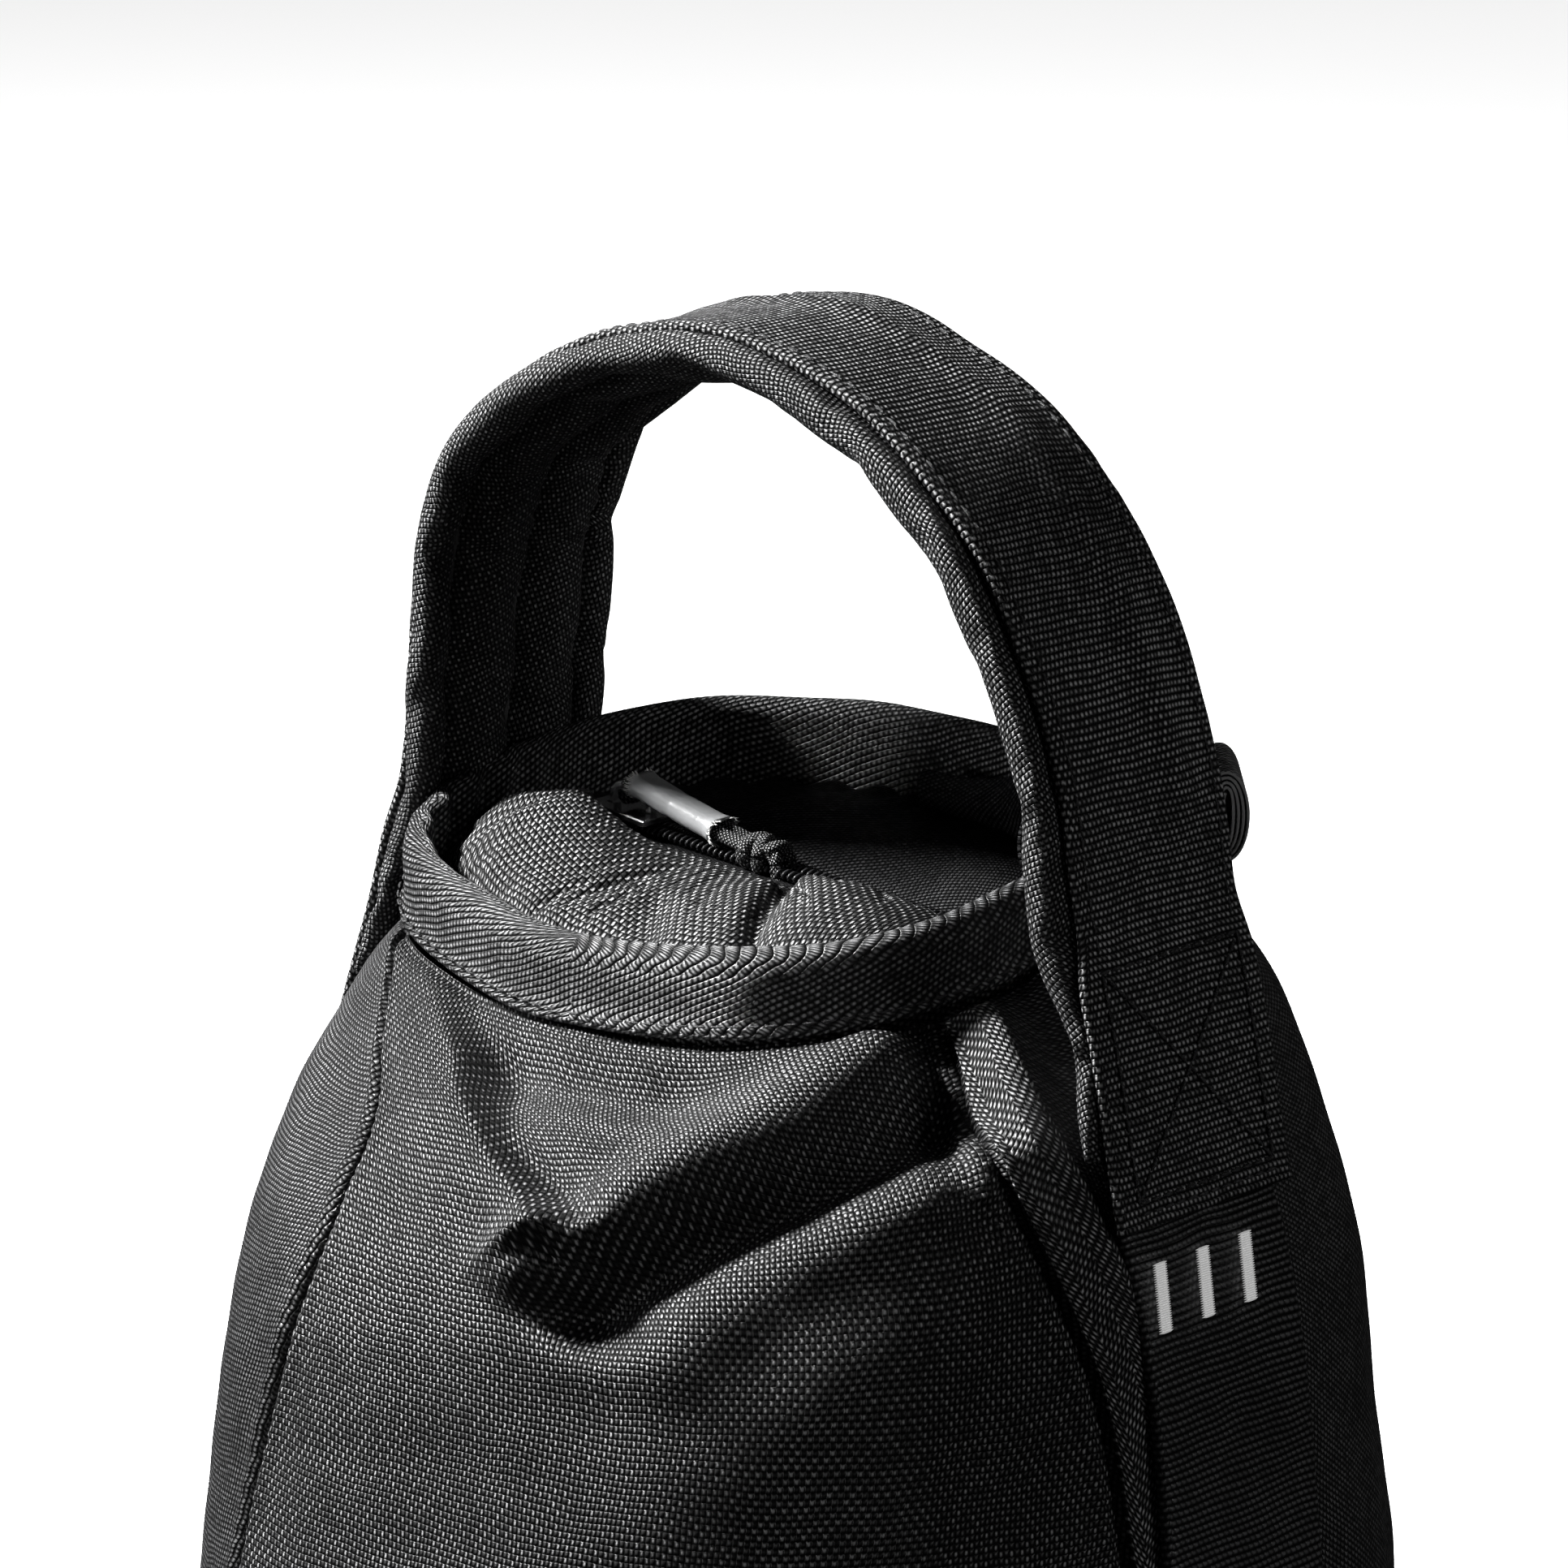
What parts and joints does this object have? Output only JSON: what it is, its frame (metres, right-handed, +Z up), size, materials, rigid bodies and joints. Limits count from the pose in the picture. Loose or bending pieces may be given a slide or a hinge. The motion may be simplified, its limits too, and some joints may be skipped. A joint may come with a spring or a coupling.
{
  "type": "sandbag",
  "caption": "Upright fabric sandbag with a zipped lid inside a standing collar, two side straps and a padded carrying handle over the mouth.",
  "frame": {"origin": "centre of the base panel, on the surface the bag stands on", "axes": "+Z up, X along the span of the handle, -Y the front with the wide panel and the low side of the collar"},
  "size_m": [0.1936, 0.188, 0.2803],
  "materials": {
    "basket_weave": "matte basket weave polyester",
    "twill": "matte twill tape",
    "webbing": "ribbed polyester webbing",
    "cover_cloth": "fine woven sleeve",
    "foam": "soft foam",
    "liner": "thin coated cloth",
    "sand": "dry sand",
    "stiffener": "plain strip",
    "black_thread": "polyester thread",
    "white_thread": "satin stitch",
    "nylon": "moulded teeth",
    "metal": "bright plated",
    "sleeve": "satin shrink sleeve",
    "cord": "braided cord"
  },
  "bodies": {
    "bag": {"base_panel": "basket_weave", "front_panel": "basket_weave", "back_panel": "basket_weave", "left_gusset": "twill", "right_gusset": "twill", "collar_band": "twill", "collar_stiffener": "stiffener", "lid_front": "basket_weave", "lid_back": "basket_weave", "zipper_tape_front": "cover_cloth", "zipper_tape_back": "cover_cloth", "zipper_coil_front": "nylon", "zipper_coil_back": "nylon", "zipper_stop_left": "metal", "zipper_stop_right": "metal", "inner_flap": "cover_cloth", "filler_bag": "liner", "filler_tie": "cord", "sand_fill": "sand", "left_strap": "webbing", "right_strap": "webbing", "left_tab": "webbing", "right_tab": "webbing", "left_box_stitch": "black_thread", "right_box_stitch": "black_thread", "mark_bar_1": "white_thread", "mark_bar_2": "white_thread", "mark_bar_3": "white_thread", "tail_strap": "webbing"},
    "slider": {"zipper_slider": "metal"},
    "pull": {"pull_cord": "cord", "pull_sleeve": "sleeve", "pull_knot": "cord"},
    "handle": {"handle_webbing": "webbing", "handle_padding": "foam", "handle_cover": "cover_cloth", "handle_seam_front": "black_thread", "handle_seam_back": "black_thread"}
  },
  "joints": [
    {"name": "zipper_slide", "type": "slide", "parent": "bag", "child": "slider", "axis": [0.9969, 0, -0.0785], "range_m": [0, 0.04]},
    {"name": "pull_swing", "type": "hinge", "parent": "slider", "child": "pull", "pos_m": [-0.03659, 0, 0.19418], "axis": [0, -1, 0], "range_deg": [0, 100]},
    {"name": "handle_tilt", "type": "hinge", "parent": "bag", "child": "handle", "pos_m": [0, 0, 0.197], "axis": [1, 0, 0], "range_deg": [-45, 50], "stiffness_Nm_per_rad": 0.4}
  ]
}
